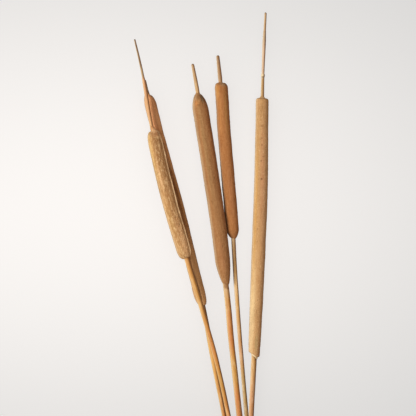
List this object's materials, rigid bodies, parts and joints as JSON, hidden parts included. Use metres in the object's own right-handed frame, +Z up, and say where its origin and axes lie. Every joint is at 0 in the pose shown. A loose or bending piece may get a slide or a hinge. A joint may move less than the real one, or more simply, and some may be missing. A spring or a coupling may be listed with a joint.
{
  "type": "dried cattail stems",
  "caption": "Loose bunch of dried cattail stems lying flat: thin stalks that cross near their cut ends, felt-like cigar-shaped seed heads and bare spikes, for display.",
  "frame": {"origin": "middle of the bunch in plan, on the surface it lies on", "axes": "+Z up from the surface, +Y along the bunch from the cut ends to the tips, +X to the right seen from above with the tips away"},
  "size_m": [0.1346, 0.5998, 0.0283],
  "materials": {
    "stalk": "dry golden straw, smooth and finely ribbed along its length, satin",
    "head_gold": "packed seed fluff, like felt, matt, mottled golden tan with paler streaks",
    "head_dark": "packed seed fluff, like felt, matt, warm dark brown",
    "head_brown": "packed seed fluff, like felt, matt, even brown",
    "head_orange": "packed seed fluff, like felt, matt, orange brown",
    "head_pale": "packed seed fluff, like felt, matt, pale sandy tan",
    "bract": "thin dry papery bract, pale straw, slightly translucent"
  },
  "bodies": {
    "root": {"left_front_stalk": "stalk", "left_front_head": "head_gold", "left_back_stalk": "stalk", "left_back_head": "head_dark", "middle_stalk": "stalk", "middle_head": "head_brown", "mid_right_stalk": "stalk", "mid_right_head": "head_orange", "right_stalk": "stalk", "right_head": "head_pale", "right_bract": "bract"}
  },
  "joints": []
}
